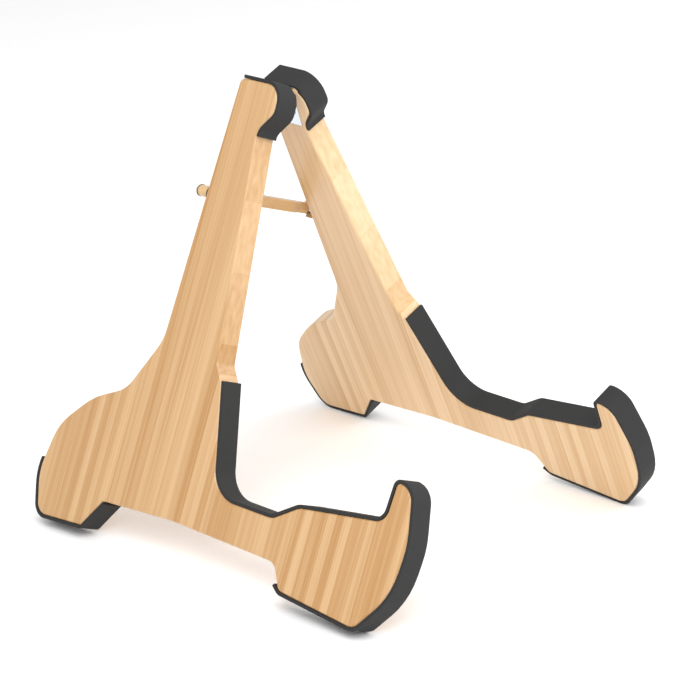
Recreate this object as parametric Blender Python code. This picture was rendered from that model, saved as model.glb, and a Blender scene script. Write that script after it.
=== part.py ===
"""A folding A-frame guitar stand: two bamboo side panels hinged at the top, held open by a wooden stay."""

import math

import bmesh
import bpy
from mathutils import Matrix, Vector

MM = 0.001

# Board and panel. Panel coordinates: u towards the rear, v down from the hinge axis, n outwards from it.
BOARD = 16.0
INNER_GAP = 1.0
ARRIS = 0.8
LEAN_DEG = 23.4
RIDGE_TILT_DEG = 3.76
ARC_STEP_DEG = 7.5
# Corners of the panel's outline: u, v and the radius that rounds the corner.
PANEL_CORNERS = (
    (86.5, 0.5, 4.0), (52.0, -0.5, 11.0), (51.0, 16.5, 8.0), (61.0, 28.5, 9.0), (41.2, 171.5, 5.0),
    (34.4, 180.2, 2.6), (14.8, 248.2, 22.0), (-35.5, 245.8, 12.0), (-54.5, 233.5, 12.0),
    (-120.2, 221.3, 9.5), (-121.4, 196.8, 2.6), (-133.0, 198.5, 11.0), (-140.6, 229.0, 50.0),
    (-138.5, 259.5, 48.0), (-118.0, 285.6, 9.0), (-55.5, 284.0, 5.0), (-46.5, 269.6, 8.0),
    (44.0, 272.8, 60.0), (106.8, 279.8, 3.0), (121.4, 300.2, 3.0), (163.0, 305.2, 9.0),
    (172.0, 279.0, 34.0), (165.5, 246.0, 36.0), (141.0, 221.0, 60.0), (113.5, 208.0, 26.0),
    (92.5, 170.0, 30.0), (90.5, 110.0, 200.0),
)

# Edge strips of foam, glued on with a thin glue line.
PAD = 2.0
GLUE = 0.3
PAD_INSET = 0.4
UPPER_PAD = ((84.0, 0.0), (56.6, 71.0))
CRADLE_PAD = ((34.0, 182.0), (-55.0, 283.0))
REAR_PAD = ((106.5, 280.5), (170.5, 268.0))
TAIL = 4.5

# Hinge: tapered leaves let into the inner faces, on a pin along the ridge.
PIN_RADIUS = 1.1
KNUCKLE_RADIUS = 2.3
RUNNING = 0.25
LEAF = 1.6
LEAF_CENTRE_U = 72.0
LEAF_ROOT_WIDTH = 25.0
LEAF_TIP_WIDTH = 18.0
LEAF_LENGTH = 29.6
KNUCKLES = 5
HINGE_SCREW_SHANK = 1.3
HINGE_SCREW_HEAD = 2.9
HINGE_SCREW_LENGTH = 11.0
HINGE_SCREW_V = 18.0
HINGE_SCREW_SPREAD = 5.0

# Stay: a slim wooden arm behind the rear edges, on a pivot screw in the left panel.
PIVOT_V = 74.6
CATCH_V = 112.5
STAY_FRONT_U = 92.9
STAY_DEPTH = 9.0
STAY_HEIGHT = 7.0
NOSE_START = 75.7
NOSE_LENGTH = 9.0
NOSE_DEPTH = 4.4
HOOK_RADIUS = 6.0
SCREW_RADIUS = 2.0
SCREW_HEAD_RADIUS = 4.2
SCREW_HEAD = 2.0
SCREW_SINK = 12.0
FIT = 0.3
WASHER_RADIUS = 5.0

SIDES = (("left", -1), ("right", 1))


def clear_scene():
    for obj in list(bpy.data.objects):
        bpy.data.objects.remove(obj, do_unlink=True)


def material(name, colour, roughness, metallic=0.0):
    made = bpy.data.materials.new(name)
    made.use_nodes = True
    shader = made.node_tree.nodes["Principled BSDF"]
    shader.inputs["Base Color"].default_value = (*colour, 1.0)
    shader.inputs["Roughness"].default_value = roughness
    shader.inputs["Metallic"].default_value = metallic
    return made


def rounded(corners):
    """The closed outline with each corner replaced by its arc."""
    points = []
    for i, (u, v, radius) in enumerate(corners):
        corner = Vector((u, v))
        before = (Vector(corners[i - 1][:2]) - corner).normalized()
        after = (Vector(corners[(i + 1) % len(corners)][:2]) - corner).normalized()
        half = before.angle(after) / 2
        centre = corner + (before + after).normalized() * radius / math.sin(half)
        start = corner + before * radius / math.tan(half) - centre
        end = corner + after * radius / math.tan(half) - centre
        first = math.atan2(start.y, start.x)
        sweep = (math.atan2(end.y, end.x) - first + math.pi) % math.tau - math.pi
        steps = max(2, math.ceil(abs(math.degrees(sweep)) / ARC_STEP_DEG))
        for k in range(steps + 1):
            angle = first + sweep * k / steps
            points.append(centre + radius * Vector((math.cos(angle), math.sin(angle))))
    return points


def offset_line(points, distance, closed):
    """The line moved sideways: outwards from the panel's outline when distance is positive."""
    moved = []
    last = len(points) - 1
    for i, point in enumerate(points):
        before = points[i - 1] if closed or i > 0 else point
        after = points[(i + 1) % len(points)] if closed or i < last else point
        sides = []
        for a, b in ((before, point), (point, after)):
            if (b - a).length > 1e-6:
                along = (b - a).normalized()
                sides.append(Vector((-along.y, along.x)))
        normal = sum(sides, Vector((0, 0))).normalized()
        moved.append(point + normal * distance / max(0.5, normal.dot(sides[0])))
    return moved


def panel_matrix(side):
    """Panel coordinates (u, v, n) in mm to world metres."""
    lean = math.radians(LEAN_DEG)
    down = Vector((side * math.sin(lean), 0, -math.cos(lean)))
    out = Vector((side * math.cos(lean), 0, math.sin(lean)))
    axes = Matrix((Vector((0, 1, 0)), down, out)).transposed().to_4x4()
    scale = Matrix.Scale(MM, 4)
    return ridge_matrix() @ axes @ scale


def ridge_matrix():
    tilt = Matrix.Rotation(math.radians(RIDGE_TILT_DEG), 4, "X")
    return Matrix.Translation(RIDGE_ORIGIN) @ tilt


def ridge_origin():
    """Puts the lowest pad edge at height 0 and the outline's box over the origin."""
    tilt = Matrix.Rotation(math.radians(RIDGE_TILT_DEG), 3, "X")
    lean = math.radians(LEAN_DEG)
    grown = offset_line(rounded(PANEL_CORNERS), GLUE + PAD, True)
    placed = []
    for point in grown:
        for n in (INNER_GAP + PAD_INSET, INNER_GAP + BOARD):
            z = -point.y * math.cos(lean) + n * math.sin(lean)
            placed.append(tilt @ Vector((0, point.x, z)) * MM)
    ys = [p.y for p in placed]
    zs = [p.z for p in placed]
    return Vector((0, -(min(ys) + max(ys)) / 2, -min(zs)))


def add_object(name, made, mesh_builder, finish):
    mesh = bpy.data.meshes.new(name)
    made.normal_update()
    bmesh.ops.recalc_face_normals(made, faces=made.faces)
    if made.calc_volume(signed=True) < 0:
        bmesh.ops.reverse_faces(made, faces=made.faces)
    made.to_mesh(mesh)
    made.free()
    obj = bpy.data.objects.new(name, mesh)
    bpy.context.scene.collection.objects.link(obj)
    mesh_builder(obj)
    if finish:
        mesh.materials.append(finish)
    return obj


def loft(name, rings, matrix, finish, origin=Vector((0, 0, 0))):
    """A closed body through rings of equally many (x, y, z) points, in the frame that matrix takes to the world."""
    made = bmesh.new()
    rows = [[made.verts.new(matrix @ Vector(p) - origin) for p in ring] for ring in rings]
    count = len(rings[0])
    for low, high in zip(rows, rows[1:]):
        for i in range(count):
            made.faces.new((low[i], low[(i + 1) % count], high[(i + 1) % count], high[i]))
    made.faces.new(rows[0])
    made.faces.new(rows[-1])

    def place(obj):
        obj.location = origin

    return add_object(name, made, place, finish)


def prism(name, outline, low, high, matrix, finish, origin=Vector((0, 0, 0)), ease=0.0):
    """The outline (a, b) carried along the third axis, with eased edges when ease is given."""
    flat = [(p[0], p[1]) for p in outline]
    if ease:
        inner = [(p.x, p.y) for p in offset_line([Vector(p) for p in flat], -ease, True)]
        levels = ((inner, low), (flat, low + ease), (flat, high - ease), (inner, high))
    else:
        levels = ((flat, low), (flat, high))
    rings = [[(a, b, level) for a, b in line] for line, level in levels]
    return loft(name, rings, matrix, finish, origin)


def circle(a, b, radius, count=20):
    return [
        (a + radius * math.cos(math.tau * i / count), b + radius * math.sin(math.tau * i / count))
        for i in range(count)
    ]


def turned(name, profile, matrix, finish, origin=Vector((0, 0, 0)), count=20):
    """A body of revolution about the frame's third axis, from (radius, height) pairs."""
    rings = [[(x, y, height) for x, y in circle(0, 0, radius, count)] for radius, height in profile]
    return loft(name, rings, matrix, finish, origin)


def cut(target, cutter):
    cutter.hide_render = True
    cutter.display_type = "WIRE"
    modifier = target.modifiers.new("cut_" + cutter.name, "BOOLEAN")
    modifier.operation = "DIFFERENCE"
    modifier.solver = "EXACT"
    modifier.object = cutter


def stretch(outline, start, end):
    """The run of outline points from the one nearest start to the one nearest end, in the outline's order."""
    def nearest(spot):
        return min(range(len(outline)), key=lambda i: (outline[i] - Vector(spot)).length)

    first, last = nearest(start), nearest(end)
    if last < first:
        last += len(outline)
    return [outline[i % len(outline)] for i in range(first, last + 1)]


def strip_outline(line):
    inner = offset_line(line, GLUE, False)
    outer = offset_line(line, GLUE + PAD, False)
    return inner + outer[::-1]


def at(u, v, n=0.0, side=1):
    """A frame whose third axis runs along n, placed at (u, v, n) of a panel."""
    return panel_matrix(side) @ Matrix.Translation((u, v, n))


def rear_frame(side, v, u=0.0):
    """A frame whose third axis runs rearwards along u, at the middle of a panel's thickness."""
    turn = Matrix(((0, 0, 1, u), (0, 1, 0, v), (-1, 0, 0, INNER_GAP + BOARD / 2), (0, 0, 0, 1)))
    return panel_matrix(side) @ turn


def leaf_outline(grow=0.0):
    root = LEAF_ROOT_WIDTH / 2 + grow
    tip = LEAF_TIP_WIDTH / 2 + grow
    top = KNUCKLE_RADIUS + 0.2 - grow * 12
    end = LEAF_LENGTH + grow
    return [
        (LEAF_CENTRE_U - root, top), (LEAF_CENTRE_U - root, KNUCKLE_RADIUS + 1.0),
        (LEAF_CENTRE_U - tip, end), (LEAF_CENTRE_U + tip, end),
        (LEAF_CENTRE_U + root, KNUCKLE_RADIUS + 1.0), (LEAF_CENTRE_U + root, top),
    ]


def screw_spots():
    return [LEAF_CENTRE_U - HINGE_SCREW_SPREAD, LEAF_CENTRE_U + HINGE_SCREW_SPREAD]


def make_panel(name, side, finish):
    outline = rounded(PANEL_CORNERS)
    matrix = panel_matrix(side)
    panel = prism(name, outline, INNER_GAP, INNER_GAP + BOARD, matrix, finish, RIDGE_ORIGIN, ARRIS)
    mortise = leaf_outline(FIT)
    cut(panel, prism(name + "_mortise", mortise, -4.0, INNER_GAP + LEAF + FIT, matrix, None))
    barrel = ridge_matrix() @ Matrix.Rotation(-math.pi / 2, 4, "X") @ Matrix.Scale(MM, 4)
    low, high = LEAF_CENTRE_U - LEAF_ROOT_WIDTH / 2 - FIT, LEAF_CENTRE_U + LEAF_ROOT_WIDTH / 2 + FIT
    groove = [(KNUCKLE_RADIUS + 0.5, low), (KNUCKLE_RADIUS + 0.5, high)]
    cut(panel, turned(name + "_groove", groove, barrel, None))
    floor = INNER_GAP + LEAF
    for i, u in enumerate(screw_spots()):
        hole = [(HINGE_SCREW_SHANK + FIT, floor - 1.0), (HINGE_SCREW_SHANK + FIT, floor + HINGE_SCREW_LENGTH + FIT)]
        frame = at(u, HINGE_SCREW_V, 0.0, side)
        cut(panel, turned(f"{name}_pilot_{i}", hole, frame, None, count=12))
    v = PIVOT_V if side < 0 else CATCH_V
    floor = rear_edge_u(v) - SCREW_SINK - FIT
    hole = [(SCREW_RADIUS + FIT, floor), (SCREW_RADIUS + FIT, STAY_FRONT_U + 20)]
    cut(panel, turned(name + "_rear_hole", hole, rear_frame(side, v), None, count=16))
    return panel


def make_pads(label, side, finish):
    outline = rounded(PANEL_CORNERS)
    matrix = panel_matrix(side)
    low, high = INNER_GAP + PAD_INSET, INNER_GAP + BOARD - 0.2
    upper = stretch(outline, *UPPER_PAD)
    cradle = stretch(outline, *CRADLE_PAD)
    along = (cradle[-1] - cradle[-2]).normalized()
    cradle.append(cradle[-1] + along * TAIL)
    rear = stretch(outline, *REAR_PAD)
    for name, line in (("upper_pad", upper), ("cradle_pad", cradle), ("rear_foot_pad", rear)):
        pad = prism(f"{label}_{name}", strip_outline(line), low, high, matrix, finish, RIDGE_ORIGIN)
        if name == "upper_pad":
            barrel = ridge_matrix() @ Matrix.Rotation(-math.pi / 2, 4, "X") @ Matrix.Scale(MM, 4)
            relief = [(KNUCKLE_RADIUS + 0.4, -300.0), (KNUCKLE_RADIUS + 0.4, 300.0)]
            cut(pad, turned(f"{label}_pad_relief", relief, barrel, None))


def along_ridge(side):
    """A frame with axes (v, n) of a panel and the third along u."""
    turn = Matrix(((0, 0, 1, 0), (1, 0, 0, 0), (0, 1, 0, 0), (0, 0, 0, 1)))
    return panel_matrix(side) @ turn


def keyhole():
    """A knuckle's cross-section: a round barrel with a neck that runs into the leaf."""
    low = INNER_GAP + 0.3
    start = math.asin(low / KNUCKLE_RADIUS)
    points = [(0.0, KNUCKLE_RADIUS), (KNUCKLE_RADIUS + 2.5, KNUCKLE_RADIUS), (KNUCKLE_RADIUS + 2.5, low)]
    for k in range(19):
        angle = start - (start + 1.5 * math.pi) * k / 19
        points.append((KNUCKLE_RADIUS * math.cos(angle), KNUCKLE_RADIUS * math.sin(angle)))
    return points


def make_leaf(label, side, finish):
    """A leaf with its share of the knuckles, and the pin's bore through them."""
    matrix = panel_matrix(side)
    leaf = prism(f"hinge_leaf_{label}", leaf_outline(), INNER_GAP, INNER_GAP + LEAF, matrix, finish, RIDGE_ORIGIN)
    barrel = ridge_matrix() @ Matrix.Rotation(-math.pi / 2, 4, "X") @ Matrix.Scale(MM, 4)
    pitch = LEAF_ROOT_WIDTH / KNUCKLES
    start = LEAF_CENTRE_U - LEAF_ROOT_WIDTH / 2
    for k in range(KNUCKLES):
        if k % 2 != (0 if side < 0 else 1):
            continue
        low, high = start + pitch * k + RUNNING / 2, start + pitch * (k + 1) - RUNNING / 2
        knuckle = prism(f"{label}_knuckle_{k}", keyhole(), low, high, along_ridge(side), None)
        knuckle.hide_render = True
        knuckle.display_type = "WIRE"
        join = leaf.modifiers.new("join_" + knuckle.name, "BOOLEAN")
        join.operation = "UNION"
        join.solver = "EXACT"
        join.object = knuckle
    bore = [(PIN_RADIUS + RUNNING, start - 2), (PIN_RADIUS + RUNNING, start + LEAF_ROOT_WIDTH + 2)]
    cut(leaf, turned(f"{label}_bore", bore, barrel, None, count=16))
    for i, u in enumerate(screw_spots()):
        sink = [
            (HINGE_SCREW_HEAD + FIT, INNER_GAP - 0.5), (HINGE_SCREW_HEAD + FIT, INNER_GAP),
            (HINGE_SCREW_SHANK + FIT, INNER_GAP + LEAF), (HINGE_SCREW_SHANK + FIT, INNER_GAP + LEAF + 1),
        ]
        cut(leaf, turned(f"{label}_sink_{i}", sink, at(u, HINGE_SCREW_V, 0.0, side), None, count=16))
    return leaf


def make_hinge(finish, screw_finish):
    for label, side in SIDES:
        make_leaf(label, side, finish)
        for i, u in enumerate(screw_spots()):
            shape = [
                (HINGE_SCREW_HEAD, INNER_GAP + 0.1), (HINGE_SCREW_SHANK, INNER_GAP + LEAF),
                (HINGE_SCREW_SHANK, INNER_GAP + LEAF + HINGE_SCREW_LENGTH - 2),
                (0.3, INNER_GAP + LEAF + HINGE_SCREW_LENGTH),
            ]
            frame = at(u, HINGE_SCREW_V, 0.0, side)
            turned(f"hinge_screw_{label}_{i + 1}", shape, frame, screw_finish, RIDGE_ORIGIN, 16)
    barrel = ridge_matrix() @ Matrix.Rotation(-math.pi / 2, 4, "X") @ Matrix.Scale(MM, 4)
    ends = [(PIN_RADIUS, LEAF_CENTRE_U - LEAF_ROOT_WIDTH / 2), (PIN_RADIUS, LEAF_CENTRE_U + LEAF_ROOT_WIDTH / 2)]
    turned("hinge_pin", ends, barrel, finish, RIDGE_ORIGIN, 16)


def stay_frame():
    """Third axis rearwards, first axis along the arm from its pivot to the catch."""
    pivot = rear_frame(-1, PIVOT_V).translation
    catch = rear_frame(1, CATCH_V).translation
    along = (catch - pivot).normalized()
    rear = (ridge_matrix().to_3x3() @ Vector((0, 1, 0))).normalized()
    up = rear.cross(along)
    axes = Matrix((along, up, rear)).transposed().to_4x4()
    span = (catch - pivot).length / MM
    return Matrix.Translation(pivot) @ axes @ Matrix.Scale(MM, 4), span, pivot


def make_stay(wood, metal, plastic):
    frame, span, pivot = stay_frame()
    half = STAY_HEIGHT / 2
    low, high = STAY_FRONT_U, STAY_FRONT_U + STAY_DEPTH
    lead = math.asin(half / HOOK_RADIUS)
    outline = []
    for k in range(9):
        angle = math.pi / 2 + math.pi * k / 8
        outline.append((half * math.cos(angle), half * math.sin(angle)))
    for k in range(15):
        angle = -math.pi + lead + (math.tau - 2 * lead) * k / 14
        outline.append((span + HOOK_RADIUS * math.cos(angle), HOOK_RADIUS * math.sin(angle)))
    arm = prism("stay_arm", outline, low, high, frame, wood, pivot)
    side_on = frame @ Matrix(((1, 0, 0, 0), (0, 0, -1, 0), (0, 1, 0, 0), (0, 0, 0, 1)))
    bevel = [
        (NOSE_START, low), (NOSE_START + NOSE_LENGTH, low + NOSE_DEPTH),
        (span + 20, low + NOSE_DEPTH), (span + 20, low - 3), (NOSE_START, low - 3),
    ]
    cut(arm, prism("stay_bevel", bevel, -20.0, 20.0, side_on, None))
    slot_radius = SCREW_RADIUS + 0.5
    rise = 16.0
    run = -0.69 * rise
    across = Vector((rise, -run)).normalized() * slot_radius
    slot = [
        (span - across.x, -across.y), (span + across.x, across.y),
        (span + run + across.x, rise + across.y), (span + run - across.x, rise - across.y),
    ]
    cut(arm, prism("stay_slot", slot, low - 5, high + 5, frame, None))
    cut(arm, prism("stay_slot_end", circle(span, 0, slot_radius, 24), low - 5, high + 5, frame, None))
    cut(arm, prism("stay_bore", circle(0, 0, SCREW_RADIUS + FIT), low - 5, high + 5, frame, None))
    edge = rear_edge_u(PIVOT_V)
    washer = prism("stay_washer", circle(0, 0, WASHER_RADIUS, 24), edge + 0.4, low - FIT, frame, plastic, pivot)
    cut(washer, prism("washer_bore", circle(0, 0, SCREW_RADIUS + FIT), edge - 5, low + 5, frame, None))
    head = high + FIT
    pivot_shape = [
        (0.4, edge - SCREW_SINK), (SCREW_RADIUS, edge - SCREW_SINK + 3), (SCREW_RADIUS, head),
        (SCREW_HEAD_RADIUS, head), (SCREW_HEAD_RADIUS * 0.7, head + SCREW_HEAD),
    ]
    turned("stay_pivot_screw", pivot_shape, rear_frame(-1, PIVOT_V), metal, RIDGE_ORIGIN)
    edge = rear_edge_u(CATCH_V)
    catch_shape = [
        (0.4, edge - SCREW_SINK), (SCREW_RADIUS, edge - SCREW_SINK + 3), (SCREW_RADIUS, head),
        (SCREW_HEAD_RADIUS, head), (SCREW_HEAD_RADIUS * 0.7, head + SCREW_HEAD),
    ]
    turned("catch_screw", catch_shape, rear_frame(1, CATCH_V), metal, RIDGE_ORIGIN)


def rear_edge_u(v):
    """Where the straight rear edge of the upright lies at height v."""
    (top_u, top_v, _), (low_u, low_v, _) = PANEL_CORNERS[0], PANEL_CORNERS[-1]
    return top_u + (low_u - top_u) * (v - top_v) / (low_v - top_v)


clear_scene()
RIDGE_ORIGIN = Vector((0, 0, 0))
RIDGE_ORIGIN = ridge_origin()
bamboo = material("lacquered_bamboo", (0.56, 0.36, 0.19), 0.3)
foam = material("black_foam_rubber", (0.022, 0.022, 0.024), 0.85)
nickel = material("nickel_plated_steel", (0.75, 0.76, 0.78), 0.3, 1.0)
steel = material("zinc_plated_steel", (0.62, 0.63, 0.66), 0.35, 1.0)
nylon = material("black_nylon", (0.03, 0.03, 0.03), 0.5)
for label, side in SIDES:
    make_panel(label + "_panel", side, bamboo)
    make_pads(label, side, foam)
make_hinge(nickel, steel)
make_stay(bamboo, steel, nylon)
print("ridge origin", [round(c, 5) for c in RIDGE_ORIGIN])
print("stay pivot", [round(c, 5) for c in rear_frame(-1, PIVOT_V).translation])
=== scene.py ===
"""The folding bamboo guitar stand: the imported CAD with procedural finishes, at the photograph's angle."""

import math

import bpy
from mathutils import Matrix, Vector

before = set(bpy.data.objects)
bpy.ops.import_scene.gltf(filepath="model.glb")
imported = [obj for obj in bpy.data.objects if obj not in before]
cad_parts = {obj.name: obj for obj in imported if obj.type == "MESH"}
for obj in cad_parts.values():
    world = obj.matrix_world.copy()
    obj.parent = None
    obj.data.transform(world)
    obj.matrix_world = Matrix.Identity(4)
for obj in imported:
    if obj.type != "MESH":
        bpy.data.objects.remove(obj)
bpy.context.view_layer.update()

ORIGIN = Vector((0.0, -0.0304, 0.27048))
TILT = math.radians(3.76)
LEAN = math.radians(23.4)
CAMERA_MM = (-1005.9, -1018.1, 432.7)
AZ, EL, ROLL = (math.radians(a) for a in (-44.1, 22.1, -1.12))
LENS = 132.2


def linear(code):
    """An sRGB hex code as a linear colour."""
    values = [int(code[i : i + 2], 16) / 255 for i in (0, 2, 4)]
    return (*(c / 12.92 if c <= 0.04045 else ((c + 0.055) / 1.055) ** 2.4 for c in values), 1.0)


def plain(name, code, roughness, metallic=0.0):
    made = bpy.data.materials.new(name)
    made.use_nodes = True
    shader = made.node_tree.nodes["Principled BSDF"]
    shader.inputs["Base Color"].default_value = linear(code)
    shader.inputs["Roughness"].default_value = roughness
    shader.inputs["Metallic"].default_value = metallic
    return made


def bamboo(name, light, dark, axes, faces):
    """Lacquered bamboo: strips 6 mm wide along the grain, with fine fibres. axes are (across, along, through)."""
    made = plain(name, light, 0.28)
    tree = made.node_tree
    nodes, links = tree.nodes, tree.links
    place = nodes.new("ShaderNodeTexCoord")
    parts = []
    for axis, per_metre in zip(axes, (165.0, 1.2, 60.0)):
        dot = nodes.new("ShaderNodeVectorMath")
        dot.operation = "DOT_PRODUCT"
        dot.inputs[1].default_value = axis * per_metre
        links.new(place.outputs["Object"], dot.inputs[0])
        parts.append(dot.outputs["Value"])
    strip = nodes.new("ShaderNodeMath")
    strip.operation = "FLOOR"
    links.new(parts[0], strip.inputs[0])
    tone = nodes.new("ShaderNodeTexWhiteNoise")
    tone.noise_dimensions = "1D"
    links.new(strip.outputs[0], tone.inputs["W"])
    spread = nodes.new("ShaderNodeCombineXYZ")
    for i in range(3):
        links.new(parts[i], spread.inputs[i])
    fibre = nodes.new("ShaderNodeTexNoise")
    fibre.inputs["Scale"].default_value = 5.0
    fibre.inputs["Detail"].default_value = 4.0
    links.new(spread.outputs[0], fibre.inputs["Vector"])
    blend = nodes.new("ShaderNodeMath")
    blend.operation = "MULTIPLY_ADD"
    blend.inputs[1].default_value = 0.45
    links.new(tone.outputs["Value"], blend.inputs[0])
    links.new(fibre.outputs[0], blend.inputs[2])
    ramp = nodes.new("ShaderNodeValToRGB")
    ramp.color_ramp.elements[0].position = 0.35
    ramp.color_ramp.elements[1].position = 1.0
    ramp.color_ramp.elements[0].color = linear(dark)
    ramp.color_ramp.elements[1].color = linear(light)
    links.new(blend.outputs[0], ramp.inputs[0])
    links.new(ramp.outputs[0], nodes["Principled BSDF"].inputs["Base Color"])
    return made


def area_light(name, place, size, power):
    light = bpy.data.lights.new(name, "AREA")
    light.size = size
    light.energy = power
    obj = bpy.data.objects.new(name, light)
    obj.location = place
    obj.rotation_euler = (Vector((0, 0, 0.12)) - obj.location).to_track_quat("-Z", "Y").to_euler()
    bpy.context.scene.collection.objects.link(obj)


tilt = Matrix.Rotation(TILT, 3, "X")
along_ridge = tilt @ Vector((0, 1, 0))
finishes = {
    "pad": plain("foam", "242424", 0.85),
    "leaf": plain("nickel", "D9E0E6", 0.25, 1.0),
    "pin": plain("nickel_pin", "D9E0E6", 0.25, 1.0),
    "screw": plain("steel", "C8CACC", 0.35, 1.0),
    "washer": plain("nylon", "2A2A2A", 0.5),
}
woods = {}
for label, side, light, dark in (("left", -1, "CDA87C", "B0834F"), ("right", 1, "E2C49C", "C9A272")):
    down = tilt @ Vector((side * math.sin(LEAN), 0, -math.cos(LEAN)))
    out = tilt @ Vector((side * math.cos(LEAN), 0, math.sin(LEAN)))
    woods[label] = bamboo("bamboo_" + label, light, dark, (along_ridge, down, out), side)
arm_along = tilt @ Vector((0.937, 0, -0.35))
arm_up = tilt @ Vector((0.35, 0, 0.937))
woods["stay"] = bamboo("bamboo_stay", "D9B98C", "BF9560", (arm_up, arm_along, along_ridge), 0)
for name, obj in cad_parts.items():
    chosen = next((m for key, m in finishes.items() if key in name), None)
    if chosen is None:
        chosen = woods[name.split("_")[0]]
    for held in obj.material_slots:
        held.material = chosen

bpy.ops.mesh.primitive_plane_add(size=200)
floor = bpy.context.object
floor.name = "floor"
floor.data.materials.append(plain("floor_white", "FFFFFF", 0.9))
area_light("key", (-0.9, -0.9, 1.5), 1.4, 26.0)
area_light("fill", (1.2, -0.8, 1.0), 1.6, 14.0)
world = bpy.data.worlds.new("white")
world.use_nodes = True
world.node_tree.nodes["Background"].inputs["Color"].default_value = (1, 1, 1, 1)
world.node_tree.nodes["Background"].inputs["Strength"].default_value = 0.8
scene = bpy.context.scene
scene.world = world
scene.view_settings.view_transform = "Standard"

back = Vector((math.sin(AZ) * math.cos(EL), -math.cos(AZ) * math.cos(EL), math.sin(EL)))
right = Vector((math.cos(AZ), math.sin(AZ), 0))
up = back.cross(right)
c, s = math.cos(ROLL), math.sin(ROLL)
columns = [tilt @ (c * right + s * up), tilt @ (c * up - s * right), tilt @ back]
data = bpy.data.cameras.new("camera")
data.lens = LENS
data.sensor_width = 36.0
camera = bpy.data.objects.new("camera", data)
turn = Matrix(columns).transposed().to_4x4()
camera.matrix_world = Matrix.Translation(ORIGIN + tilt @ Vector(CAMERA_MM) * 0.001) @ turn
scene.collection.objects.link(camera)
scene.camera = camera
scene.render.resolution_x = 680
scene.render.resolution_y = 680
